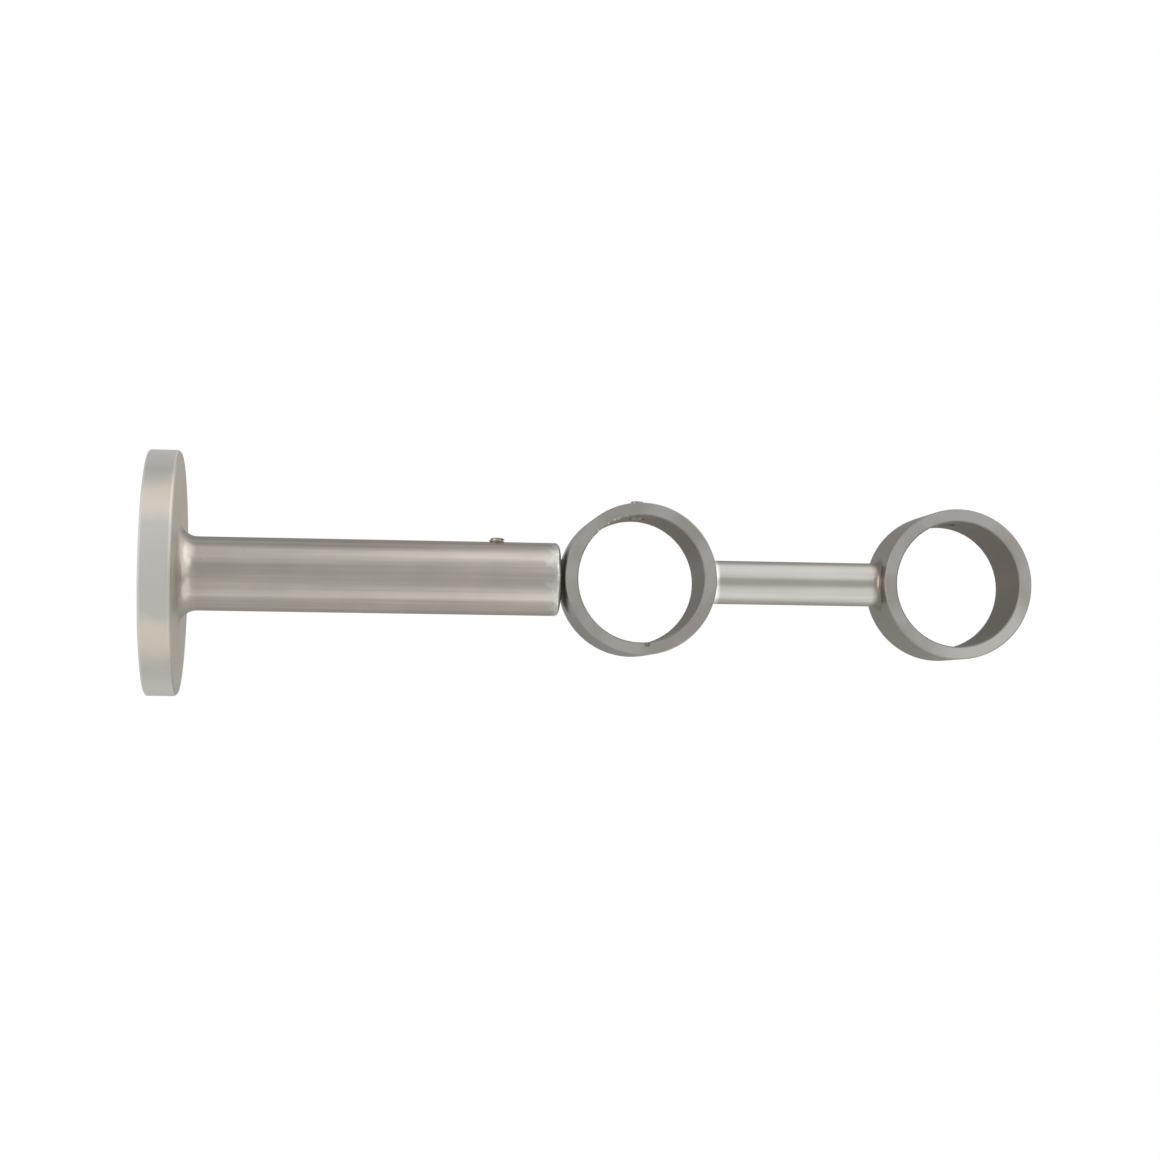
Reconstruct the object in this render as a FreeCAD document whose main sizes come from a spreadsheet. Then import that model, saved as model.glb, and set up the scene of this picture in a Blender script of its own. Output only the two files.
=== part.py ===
import FreeCAD, Part
import Sketcher
import math
import os

# Double curtain pole bracket: a wall rose with its stem, and an arm with two pole rings that
# slides in the stem. Millimetres, +Z up. The origin is the centre of the wall face, on the
# stem's axis. +X points away from the wall, and the poles run along Y.

doc = FreeCAD.newDocument("curtain_pole_bracket")

sizes = {
    # Wall rose and stem, one casting
    "rose_diameter": 59.5,
    "rose_thickness": 7.5,
    "rose_rim_wall": 3.2,
    "rose_web": 3.0,
    "rose_front_bevel": 0.6,
    "rose_back_bevel": 0.4,
    "stem_diameter": 18.0,
    "stem_reach": 99.6,
    "stem_root_fillet": 4.3,
    "stem_end_rounding": 1.1,
    "bore_mouth_chamfer": 0.4,
    # Ring arm, one casting: spigot, rear ring, link and front ring
    "ring_bore": 31.0,
    "ring_wall": 3.1,
    "ring_width": 20.0,
    "ring_edge_break": 0.3,
    "stem_end_gap": 0.8,
    "ring_spacing": 79.0,
    "link_diameter": 10.8,
    "link_root_fillet": 1.4,
    "spigot_diameter": 10.0,
    "spigot_length": 70.0,
    "spigot_running_clearance": 0.05,
    "spigot_end_chamfer": 0.8,
    "spigot_flat_depth": 0.3,
    "spigot_flat_margin": 3.0,
    "nick_width": 1.5,
    "nick_depth": 0.4,
    "nick_sideways": 1.5,
    # Grub screws: one in the stem, one in the rear ring, and a finer one in the rose's rim
    "grub_thread": 4.0,
    "grub_socket": 2.0,
    "grub_socket_depth": 2.0,
    "grub_end_chamfer": 0.5,
    "stem_screw_inset": 15.3,
    "stem_screw_stand_out": 1.0,
    "stem_screw_tip_gap": 0.3,
    "ring_screw_stand_out": 1.1,
    "ring_screw_tip_proud": 0.2,
    "lock_thread": 3.0,
    "lock_socket": 1.5,
    "lock_socket_depth": 1.2,
    "lock_end_chamfer": 0.3,
    "lock_point_radius": 0.2,
    "lock_screw_sunk": 0.3,
    "lock_screw_tip_gap": 0.3,
    "thread_clearance": 0.05,
    # Fixing plate, hidden in the back of the rose
    "plate_face_gap": 0.3,
    "plate_rim_clearance": 0.3,
    "plate_rim_taper": 1.2,
    "wall_screw_circle": 34.0,
    "wall_screw_hole": 5.0,
    "wall_screw_head": 9.4,
}
WALL_SCREW_COUNT = 3

sheet = doc.addObject("Spreadsheet::Sheet", "Sizes")
for row, (alias, value) in enumerate(sizes.items(), start=1):
    sheet.set("A" + str(row), alias.replace("_", " "))
    sheet.set("B" + str(row), str(value))
    sheet.setAlias("B" + str(row), alias)
doc.recompute()

# Places and sizes that follow from the sheet, as expressions
ROSE_RADIUS = "Sizes.rose_diameter / 2"
POCKET_RADIUS = "(Sizes.rose_diameter / 2 - Sizes.rose_rim_wall)"
POCKET_DEPTH = "(Sizes.rose_thickness - Sizes.rose_web)"
STEM_RADIUS = "Sizes.stem_diameter / 2"
STEM_BORE_RADIUS = "(Sizes.spigot_diameter / 2 + Sizes.spigot_running_clearance)"
RING_RADIUS = "(Sizes.ring_bore / 2 + Sizes.ring_wall)"
REAR_RING_REACH = "(Sizes.stem_reach + Sizes.stem_end_gap + " + RING_RADIUS + ")"
FRONT_RING_REACH = "(" + REAR_RING_REACH + " + Sizes.ring_spacing)"
SPIGOT_START = "(Sizes.stem_reach + Sizes.stem_end_gap - Sizes.spigot_length)"
STEM_SCREW_REACH = "(Sizes.stem_reach - Sizes.stem_screw_inset)"
FLAT_HEIGHT = "(Sizes.spigot_diameter / 2 - Sizes.spigot_flat_depth)"
FLAT_END = "(" + STEM_SCREW_REACH + " + Sizes.grub_thread / 2 + Sizes.spigot_flat_margin)"
PLATE_THICKNESS = "(" + POCKET_DEPTH + " - Sizes.plate_face_gap)"
PLATE_RADIUS = "(" + POCKET_RADIUS + " - Sizes.plate_rim_clearance)"
PLATE_BACK_RADIUS = "(" + PLATE_RADIUS + " - Sizes.plate_rim_taper)"
RIM_MIDDLE_RADIUS = "(" + PLATE_RADIUS + " - Sizes.plate_rim_taper / 2)"
LOCK_SCREW_REACH = PLATE_THICKNESS + " / 2"
LOCK_SCREW_TIP = "(" + RIM_MIDDLE_RADIUS + " + Sizes.lock_screw_tip_gap)"
LOCK_SCREW_OUTER = "(" + ROSE_RADIUS + " - Sizes.lock_screw_sunk)"
STEM_SCREW_TIP = "(" + FLAT_HEIGHT + " + Sizes.stem_screw_tip_gap)"
STEM_SCREW_OUTER = "(" + STEM_RADIUS + " + Sizes.stem_screw_stand_out)"
RING_SCREW_TIP = "(Sizes.ring_bore / 2 - Sizes.ring_screw_tip_proud)"
RING_SCREW_OUTER = "(" + RING_RADIUS + " + Sizes.ring_screw_stand_out)"
LOCK_POINT_BEVEL = "(Sizes.lock_thread / 2 - Sizes.thread_clearance - Sizes.lock_point_radius)"

# How a sketch names its own origin and axes: the origin is the start of the level axis, and
# the upright axis has the next number down
ORIGIN = (-1, 1)
LEVEL_AXIS = ORIGIN[0]
UPRIGHT_AXIS = LEVEL_AXIS - 1

# Two lengths closer than this are the same one
SAME = FreeCAD.Base.Precision.approximation()
FULL_TURN = 360
HALF_TURN = 180
HEXAGON_CORNERS = 6
EDGE_SAMPLES = 5

PAD = "PartDesign::Pad"
POCKET = "PartDesign::Pocket"
GROOVE = "PartDesign::Groove"
FILLET = "PartDesign::Fillet"
CHAMFER = "PartDesign::Chamfer"

ALONG_STEM = FreeCAD.Vector(1, 0, 0)
ALONG_POLE = FreeCAD.Vector(0, 1, 0)
UPWARDS = FreeCAD.Vector(0, 0, 1)


def value_of(expression):
    """The number that an expression of the sheet's sizes gives now."""
    return float(sheet.evalExpression(expression.replace("Sizes.", "")))


def new_body(label):
    body = doc.addObject("PartDesign::Body", label)
    body.Label = label
    return body


def new_sketch(body, name, role, lift=None):
    """An empty sketch on one of the body's own planes, lifted off it if lift says how far."""
    sketch = body.newObject("Sketcher::SketchObject", name)
    plane = [part for part in body.Origin.OriginFeatures if part.Role == role][0]
    sketch.AttachmentSupport = (plane, [""])
    sketch.MapMode = "FlatFace"
    if lift:
        sketch.setExpression("AttachmentOffset.Base.z", lift)
    return sketch


def hold(sketch, kind, ends, expression, name):
    """Add a dimension and bind it to its expression."""
    index = sketch.addConstraint(Sketcher.Constraint(kind, *ends, value_of(expression)))
    sketch.renameConstraint(index, name)
    sketch.setExpression("Constraints." + name, expression)


def draw_outline(sketch, name, corners):
    """A closed outline of straight lines. Each corner is its two places, as expressions."""
    points = [FreeCAD.Vector(value_of(across), value_of(up), 0) for across, up in corners]
    first = sketch.GeometryCount
    count = len(points)
    for index, point in enumerate(points):
        sketch.addGeometry(Part.LineSegment(point, points[(index + 1) % count]))
    for index, (across, up) in enumerate(corners):
        line = first + index
        following = first + (index + 1) % count
        sketch.addConstraint(Sketcher.Constraint("Coincident", line, 2, following, 1))
        hold(sketch, "DistanceX", (*ORIGIN, line, 1), across, name + "_across_" + str(index))
        hold(sketch, "DistanceY", (*ORIGIN, line, 1), up, name + "_up_" + str(index))


def draw_circle(sketch, name, across, up, diameter):
    """A circle, with its centre's place and its diameter as expressions."""
    centre = FreeCAD.Vector(value_of(across), value_of(up), 0)
    index = sketch.addGeometry(Part.Circle(centre, UPWARDS, value_of(diameter) / 2))
    hold(sketch, "DistanceX", (*ORIGIN, index, 3), across, name + "_across")
    hold(sketch, "DistanceY", (*ORIGIN, index, 3), up, name + "_up")
    hold(sketch, "Diameter", (index,), diameter, name + "_diameter")


def draw_hexagon(sketch, across_flats):
    """A hexagon centred on the sketch's origin, held by the circle that its flats touch."""
    radius = value_of(across_flats) / 2
    inner = sketch.addGeometry(Part.Circle(FreeCAD.Vector(0, 0, 0), UPWARDS, radius))
    sketch.toggleConstruction(inner)
    sketch.addConstraint(Sketcher.Constraint("Coincident", inner, 3, *ORIGIN))
    hold(sketch, "Diameter", (inner,), across_flats, "across_flats")
    reach = radius / math.cos(math.pi / HEXAGON_CORNERS)
    turns = [2 * math.pi * corner / HEXAGON_CORNERS for corner in range(HEXAGON_CORNERS)]
    points = [FreeCAD.Vector(reach * math.cos(turn), reach * math.sin(turn), 0) for turn in turns]
    lines = []
    for index, point in enumerate(points):
        following = points[(index + 1) % HEXAGON_CORNERS]
        lines.append(sketch.addGeometry(Part.LineSegment(point, following)))
    for index, line in enumerate(lines):
        following = lines[(index + 1) % HEXAGON_CORNERS]
        sketch.addConstraint(Sketcher.Constraint("Coincident", line, 2, following, 1))
        sketch.addConstraint(Sketcher.Constraint("Tangent", line, inner))
        if index:
            sketch.addConstraint(Sketcher.Constraint("Equal", lines[0], line))
    sketch.addConstraint(Sketcher.Constraint("PointOnObject", lines[0], 1, LEVEL_AXIS))


def add_turned(body, name, sketch):
    """Turn a sketch a full turn about its own level axis."""
    feature = body.newObject("PartDesign::Revolution", name)
    feature.Profile = sketch
    feature.ReferenceAxis = (sketch, ["H_Axis"])
    feature.Angle = FULL_TURN
    doc.recompute()


def add_straight(body, name, sketch, length, kind=PAD, both_ways=False, turned=False):
    """Push a sketch along its normal, to add it or to cut it. turned sends it the other way."""
    feature = body.newObject(kind, name)
    feature.Profile = sketch
    feature.Type = "Length"
    feature.setExpression("Length", length)
    feature.Midplane = both_ways
    feature.Reversed = turned
    doc.recompute()


def dress_edges(body, name, edges, amount, kind=FILLET):
    """Round or chamfer edges of the body's tip."""
    base = body.Tip
    feature = body.newObject(kind, name)
    feature.Base = (base, edges)
    feature.setExpression("Radius" if kind == FILLET else "Size", amount)
    doc.recompute()


def rim_edges(body, axis, radius, place):
    """Names of the body's round edges of this radius about the axis, at this place along it."""
    wanted_radius = value_of(radius)
    wanted_place = value_of(place)
    names = []
    for index, edge in enumerate(body.Tip.Shape.Edges, start=1):
        curve = edge.Curve
        if not isinstance(curve, Part.Circle):
            continue
        about_axis = abs(abs(curve.Axis.dot(axis)) - 1) < SAME
        right_size = abs(curve.Radius - wanted_radius) < SAME
        right_place = abs(curve.Center.dot(axis) - wanted_place) < SAME
        if about_axis and right_size and right_place:
            names.append("Edge" + str(index))
    return names


def make_wall_rose():
    """The rose and its stem are one casting, hollow behind, and bored for the spigot."""
    body = new_body("wall_rose")
    section = new_sketch(body, "rose_section", "XZ_Plane")
    draw_outline(section, "rose", [
        ("0", POCKET_RADIUS),
        (POCKET_DEPTH, POCKET_RADIUS),
        (POCKET_DEPTH, STEM_BORE_RADIUS),
        ("Sizes.stem_reach", STEM_BORE_RADIUS),
        ("Sizes.stem_reach", STEM_RADIUS),
        ("Sizes.rose_thickness", STEM_RADIUS),
        ("Sizes.rose_thickness", ROSE_RADIUS),
        ("0", ROSE_RADIUS),
    ])
    add_turned(body, "rose_turning", section)

    front_rim = rim_edges(body, ALONG_STEM, ROSE_RADIUS, "Sizes.rose_thickness")
    dress_edges(body, "front_rim_bevel", front_rim, "Sizes.rose_front_bevel", CHAMFER)
    back_rim = rim_edges(body, ALONG_STEM, ROSE_RADIUS, "0")
    dress_edges(body, "back_rim_bevel", back_rim, "Sizes.rose_back_bevel", CHAMFER)
    root = rim_edges(body, ALONG_STEM, STEM_RADIUS, "Sizes.rose_thickness")
    dress_edges(body, "stem_root_rounding", root, "Sizes.stem_root_fillet")
    stem_end = rim_edges(body, ALONG_STEM, STEM_RADIUS, "Sizes.stem_reach")
    dress_edges(body, "stem_end_rounding", stem_end, "Sizes.stem_end_rounding")
    mouth = rim_edges(body, ALONG_STEM, STEM_BORE_RADIUS, "Sizes.stem_reach")
    dress_edges(body, "bore_mouth", mouth, "Sizes.bore_mouth_chamfer", CHAMFER)

    tapping = new_sketch(body, "stem_screw_place", "XY_Plane")
    draw_circle(tapping, "tapping", STEM_SCREW_REACH, "0", "Sizes.grub_thread")
    add_straight(body, "stem_screw_hole", tapping, "Sizes.stem_diameter", POCKET, turned=True)
    rim_tapping = new_sketch(body, "lock_screw_place", "XY_Plane")
    draw_circle(rim_tapping, "tapping", LOCK_SCREW_REACH, "0", "Sizes.lock_thread")
    add_straight(body, "lock_screw_hole", rim_tapping, "Sizes.rose_diameter", POCKET)
    return body


def make_ring_arm():
    """Spigot, rear ring, link and front ring are one casting, with both rings bored last."""
    body = new_body("ring_arm")
    blanks = new_sketch(body, "ring_blanks", "XZ_Plane")
    for name, reach in (("rear", REAR_RING_REACH), ("front", FRONT_RING_REACH)):
        draw_circle(blanks, name, reach, "0", "2 * " + RING_RADIUS)
    add_straight(body, "rings", blanks, "Sizes.ring_width", both_ways=True)

    bars = new_sketch(body, "spigot_and_link", "XZ_Plane")
    draw_outline(bars, "bars", [
        (SPIGOT_START, "0"),
        (FRONT_RING_REACH, "0"),
        (FRONT_RING_REACH, "Sizes.link_diameter / 2"),
        (REAR_RING_REACH, "Sizes.link_diameter / 2"),
        (REAR_RING_REACH, "Sizes.spigot_diameter / 2"),
        (SPIGOT_START + " + Sizes.spigot_end_chamfer", "Sizes.spigot_diameter / 2"),
        (SPIGOT_START, "Sizes.spigot_diameter / 2 - Sizes.spigot_end_chamfer"),
    ])
    add_turned(body, "bars_turning", bars)
    dress_edges(body, "link_root_rounding", link_root_edges(body), "Sizes.link_root_fillet")

    bores = new_sketch(body, "pole_bore_places", "XZ_Plane")
    for name, reach in (("rear", REAR_RING_REACH), ("front", FRONT_RING_REACH)):
        draw_circle(bores, name, reach, "0", "Sizes.ring_bore")
    through = "2 * Sizes.ring_width"
    add_straight(body, "pole_bores", bores, through, POCKET, both_ways=True)
    edges = []
    for side in ("Sizes.ring_width / 2", "-Sizes.ring_width / 2"):
        edges = edges + rim_edges(body, ALONG_POLE, RING_RADIUS, side)
        edges = edges + rim_edges(body, ALONG_POLE, "Sizes.ring_bore / 2", side)
    dress_edges(body, "ring_edge_break", edges, "Sizes.ring_edge_break", CHAMFER)

    tappings = new_sketch(body, "ring_screw_places", "XY_Plane")
    for name, reach in (("rear", REAR_RING_REACH), ("front", FRONT_RING_REACH)):
        draw_circle(tappings, name, reach, "0", "Sizes.grub_thread")
    upwards = "2 * " + RING_RADIUS
    add_straight(body, "ring_screw_holes", tappings, upwards, POCKET, turned=True)

    # The flat that the stem screw bears on keeps the arm from turning
    flat = new_sketch(body, "spigot_flat_side", "XZ_Plane")
    past_end = SPIGOT_START + " - Sizes.spigot_end_chamfer"
    draw_outline(flat, "flat", [
        (past_end, FLAT_HEIGHT),
        (FLAT_END, FLAT_HEIGHT),
        (FLAT_END, "Sizes.spigot_diameter"),
        (past_end, "Sizes.spigot_diameter"),
    ])
    wide = "2 * Sizes.spigot_diameter"
    add_straight(body, "spigot_flat", flat, wide, POCKET, both_ways=True)

    # A small knock that breaks the near bore edge, at the foot of the rear ring
    nick = new_sketch(body, "nick_place", "XZ_Plane", "Sizes.ring_width / 2 - Sizes.nick_depth")
    nick_reach = REAR_RING_REACH + " + Sizes.nick_sideways"
    nick_drop = "-(Sizes.ring_bore / 2 + Sizes.nick_width / 4)"
    draw_circle(nick, "nick", nick_reach, nick_drop, "Sizes.nick_width")
    add_straight(body, "nick", nick, "2 * Sizes.nick_depth", POCKET, turned=True)
    return body


def link_root_edges(body):
    """The two curves where the link's round side runs into the rings."""
    radius = value_of("Sizes.link_diameter / 2")
    rear = value_of(REAR_RING_REACH)
    front = value_of(FRONT_RING_REACH)
    names = []
    for index, edge in enumerate(body.Tip.Shape.Edges, start=1):
        points = edge.discretize(EDGE_SAMPLES)
        between = all(rear < point.x < front for point in points)
        on_link = all(abs(math.hypot(point.y, point.z) - radius) < SAME for point in points)
        bent = max(point.x for point in points) - min(point.x for point in points) < radius
        if between and on_link and bent:
            names.append("Edge" + str(index))
    return names


def make_fixing_plate():
    """The plate that is screwed to the wall first. Its rim is narrower at the wall, so the lock
    screw's point draws the rose back as it is tightened."""
    body = new_body("fixing_plate")
    section = new_sketch(body, "plate_section", "XZ_Plane")
    draw_outline(section, "plate", [
        ("0", "0"),
        (PLATE_THICKNESS, "0"),
        (PLATE_THICKNESS, PLATE_RADIUS),
        ("0", PLATE_BACK_RADIUS),
    ])
    add_turned(body, "plate_turning", section)

    # One countersunk hole, turned about its own axis, then repeated round the plate
    hole_axis = "Sizes.wall_screw_circle / 2"
    head_depth = "(Sizes.wall_screw_head / 2 - Sizes.wall_screw_hole / 2)"
    drill = new_sketch(body, "wall_screw_section", "XZ_Plane")
    axis_start = FreeCAD.Vector(0, value_of(hole_axis), 0)
    axis_end = FreeCAD.Vector(value_of(PLATE_THICKNESS), value_of(hole_axis), 0)
    axis = drill.addGeometry(Part.LineSegment(axis_start, axis_end))
    drill.toggleConstruction(axis)
    drill.addConstraint(Sketcher.Constraint("PointOnObject", axis, 1, UPRIGHT_AXIS))
    drill.addConstraint(Sketcher.Constraint("Horizontal", axis))
    hold(drill, "DistanceX", (*ORIGIN, axis, 2), PLATE_THICKNESS, "axis_length")
    hold(drill, "DistanceY", (*ORIGIN, axis, 2), hole_axis, "axis_up")
    draw_outline(drill, "hole", [
        ("0", hole_axis),
        (PLATE_THICKNESS, hole_axis),
        (PLATE_THICKNESS, hole_axis + " + Sizes.wall_screw_head / 2"),
        (PLATE_THICKNESS + " - " + head_depth, hole_axis + " + Sizes.wall_screw_hole / 2"),
        ("0", hole_axis + " + Sizes.wall_screw_hole / 2"),
    ])
    hole = body.newObject(GROOVE, "wall_screw_hole")
    hole.Profile = drill
    hole.ReferenceAxis = (drill, ["Axis0"])
    hole.Angle = FULL_TURN
    doc.recompute()
    round_plate = body.newObject("PartDesign::PolarPattern", "wall_screw_holes")
    round_plate.Originals = [hole]
    round_plate.Axis = (section, ["H_Axis"])
    round_plate.Angle = FULL_TURN
    round_plate.Occurrences = WALL_SCREW_COUNT
    body.Tip = round_plate
    doc.recompute()
    return body


def make_grub_screw(label, thread, socket, depth, length, outer_chamfer, tip_chamfer):
    """A socket grub screw. Its outer end is at its own origin, and its tip points down."""
    body = new_body(label)
    radius = "(" + thread + " / 2 - Sizes.thread_clearance)"
    shank = new_sketch(body, label + "_shank", "XY_Plane")
    draw_circle(shank, "shank", "0", "0", "2 * " + radius)
    add_straight(body, label + "_length", shank, length, turned=True)
    outer_end = rim_edges(body, UPWARDS, radius, "0")
    dress_edges(body, label + "_outer_end", outer_end, outer_chamfer, CHAMFER)
    tip = rim_edges(body, UPWARDS, radius, "-" + length)
    dress_edges(body, label + "_tip", tip, tip_chamfer, CHAMFER)
    key = new_sketch(body, label + "_socket_shape", "XY_Plane")
    draw_hexagon(key, socket)
    add_straight(body, label + "_socket", key, depth, POCKET)
    return body


def make_screws():
    stem_length = "(" + STEM_SCREW_OUTER + " - " + STEM_SCREW_TIP + ")"
    stem_screw = make_grub_screw(
        "stem_screw", "Sizes.grub_thread", "Sizes.grub_socket", "Sizes.grub_socket_depth",
        stem_length, "Sizes.grub_end_chamfer", "Sizes.grub_end_chamfer")
    stem_screw.setExpression("Placement.Base.x", STEM_SCREW_REACH)
    stem_screw.setExpression("Placement.Base.z", STEM_SCREW_OUTER)

    ring_length = "(" + RING_SCREW_OUTER + " - " + RING_SCREW_TIP + ")"
    ring_screw = make_grub_screw(
        "rear_ring_screw", "Sizes.grub_thread", "Sizes.grub_socket", "Sizes.grub_socket_depth",
        ring_length, "Sizes.grub_end_chamfer", "Sizes.grub_end_chamfer")
    ring_screw.setExpression("Placement.Base.x", REAR_RING_REACH)
    ring_screw.setExpression("Placement.Base.z", RING_SCREW_OUTER)

    lock_length = "(" + LOCK_SCREW_OUTER + " - " + LOCK_SCREW_TIP + ")"
    lock_screw = make_grub_screw(
        "rose_lock_screw", "Sizes.lock_thread", "Sizes.lock_socket", "Sizes.lock_socket_depth",
        lock_length, "Sizes.lock_end_chamfer", LOCK_POINT_BEVEL)
    upside_down = FreeCAD.Rotation(ALONG_STEM, HALF_TURN)
    lock_screw.Placement = FreeCAD.Placement(FreeCAD.Vector(0, 0, 0), upside_down)
    lock_screw.setExpression("Placement.Base.x", LOCK_SCREW_REACH)
    lock_screw.setExpression("Placement.Base.z", "-" + LOCK_SCREW_OUTER)
    return [stem_screw, ring_screw, lock_screw]


def check_and_write(bodies):
    """Stop if a feature failed or a cut removed nothing, else write each body's file."""
    doc.recompute()
    for feature in doc.Objects:
        faults = [word for word in feature.State if word in ("Invalid", "Error")]
        if faults:
            raise RuntimeError(feature.Name + " is " + ", ".join(faults))
        if feature.TypeId in (POCKET, GROOVE):
            if feature.Shape.Volume > feature.BaseFeature.Shape.Volume - SAME:
                raise RuntimeError(feature.Name + " cuts nothing")
    os.makedirs("parts", exist_ok=True)
    for body in bodies:
        if body.Shape.isNull() or not body.Shape.isValid():
            raise RuntimeError(body.Label + " has no sound shape")
        body.Shape.exportStep("parts/" + body.Label + ".step")


if __name__ == "__main__":
    check_and_write([make_wall_rose(), make_ring_arm(), make_fixing_plate()] + make_screws())
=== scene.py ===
import math

import bmesh
import bpy
from mathutils import Matrix, Vector


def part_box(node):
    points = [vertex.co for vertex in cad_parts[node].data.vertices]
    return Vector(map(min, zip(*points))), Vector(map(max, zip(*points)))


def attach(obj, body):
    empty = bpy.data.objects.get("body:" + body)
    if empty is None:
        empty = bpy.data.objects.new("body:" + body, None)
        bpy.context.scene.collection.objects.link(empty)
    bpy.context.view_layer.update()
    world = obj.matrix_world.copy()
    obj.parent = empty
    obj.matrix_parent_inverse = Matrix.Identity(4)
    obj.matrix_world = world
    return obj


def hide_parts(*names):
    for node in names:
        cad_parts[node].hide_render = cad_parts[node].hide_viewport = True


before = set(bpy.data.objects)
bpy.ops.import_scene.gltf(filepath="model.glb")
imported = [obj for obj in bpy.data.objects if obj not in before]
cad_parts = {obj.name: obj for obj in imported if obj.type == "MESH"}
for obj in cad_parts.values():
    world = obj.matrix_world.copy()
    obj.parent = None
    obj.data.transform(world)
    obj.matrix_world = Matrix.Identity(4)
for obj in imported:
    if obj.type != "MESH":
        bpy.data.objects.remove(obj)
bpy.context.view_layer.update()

MM = 0.001

# Sizes and places that repeat the CAD source
REAR_RING_X = 119.0 * MM
FRONT_RING_X = 198.0 * MM
BORE_RADIUS = 15.5 * MM
RING_RADIUS = 18.6 * MM
RING_HALF_WIDTH = 10.0 * MM
RING_EDGE_BREAK = 0.3 * MM
ROSE_RADIUS = 29.75 * MM
STEM_RADIUS = 9.0 * MM
STEM_END_X = 99.6 * MM
SPIGOT_RADIUS = 5.0 * MM
LINK_RADIUS = 5.4 * MM
LINK_START_X = REAR_RING_X + RING_RADIUS
LINK_END_X = FRONT_RING_X - RING_RADIUS
THREAD_HOLE_RADIUS = 2.0 * MM

# Where the nick is, and where the painted sheen, glints and shade lie
NICK = (120.5 * MM, -9.6 * MM, -15.9 * MM)
GLINT_EDGE = (109.5 * MM, -9.8 * MM, 12.6 * MM)
FACE_SHEEN_SPOT = (206 * MM, -10 * MM, -15 * MM)
GAP_SHADE_END_X = 106.0 * MM

# The nodes that these materials are made of
MATH = "ShaderNodeMath"
VECTOR_MATH = "ShaderNodeVectorMath"
RANGE = "ShaderNodeMapRange"
NOISE = "ShaderNodeTexNoise"

# A Mix node's sockets for colours
MIX = "ShaderNodeMix"
SHARE = 0
FIRST = 6
SECOND = 7
MIXED = 2


def colour(hex_value):
    """An sRGB hex colour as linear red, green, blue and alpha."""
    channels = [int(hex_value[place:place + 2], 16) / 255 for place in (1, 3, 5)]
    linear = [c / 12.92 if c <= 0.04045 else ((c + 0.055) / 1.055) ** 2.4 for c in channels]
    return (*linear, 1.0)


def grey(level):
    """A linear grey with alpha."""
    return (level, level, level, 1.0)


def add_node(tree, kind, inputs=None, output=0, **settings):
    """Add a node and give back one of its outputs. A value in inputs is linked if it is a socket,
    and set if it isn't."""
    node = tree.nodes.new(kind)
    for name, value in settings.items():
        setattr(node, name, value)
    for key, value in (inputs or {}).items():
        if isinstance(value, bpy.types.NodeSocket):
            tree.links.new(value, node.inputs[key])
        else:
            node.inputs[key].default_value = value
    return node.outputs[output] if node.outputs else None


def new_material(name):
    """An empty material, its tree, its shader, and the piece's own coordinates."""
    material = bpy.data.materials.new(name)
    material.use_nodes = True
    tree = material.node_tree
    shader = tree.nodes["Principled BSDF"]
    place = add_node(tree, "ShaderNodeTexCoord", output="Object")
    return material, tree, shader, place


# Camera: fitted to the photograph, lens 67.2 mm on a 36 mm sensor, no shift
CAMERA_PLACE = Vector((0.04654, -0.53086, -0.03112))
CAMERA_RIGHT = Vector((0.993865, -0.110070, 0.010800))
CAMERA_UP = Vector((-0.017119, -0.056627, 0.998249))
CAMERA_FORWARD = Vector((0.109266, 0.992309, 0.058164))
FIELD_OF_VIEW = math.radians(29.97)
SENSOR_WIDTH = 36.0


def make_camera():
    """The camera, where the photograph was taken from."""
    camera = bpy.data.objects.new("camera", bpy.data.cameras.new("camera"))
    bpy.context.scene.collection.objects.link(camera)
    camera.data.sensor_width = SENSOR_WIDTH
    camera.data.angle = FIELD_OF_VIEW
    axes = Matrix((CAMERA_RIGHT, CAMERA_UP, -CAMERA_FORWARD)).transposed()
    camera.matrix_world = Matrix.Translation(CAMERA_PLACE) @ axes.to_4x4()
    bpy.context.scene.camera = camera


# Studio: a pale floor, a white background, and soft lamps
FLOOR_Z = -0.20
FLOOR_HALF = 4.0
SHADOW_END = 0.13
WHITE_START = 0.27
WHITE = grey(1.0)

# How bright the room is as light, and how bright metal mirrors it behind the camera, ahead of it,
# and past the front ring
ROOM_LIGHT = grey(0.85)
ROOM_MIRRORED = grey(0.50)
FAR_MIRRORED = grey(0.46)
SIDE_MIRRORED = WHITE

# The middle of the white that metal mirrors low behind the bracket, and how close to it, as a
# cosine, the white starts and is full
WHITE_BACKDROP = Vector((0.02, 0.99, -0.14)).normalized()
BACKDROP_EDGE = 0.92
BACKDROP_FULL = 0.98


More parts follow.
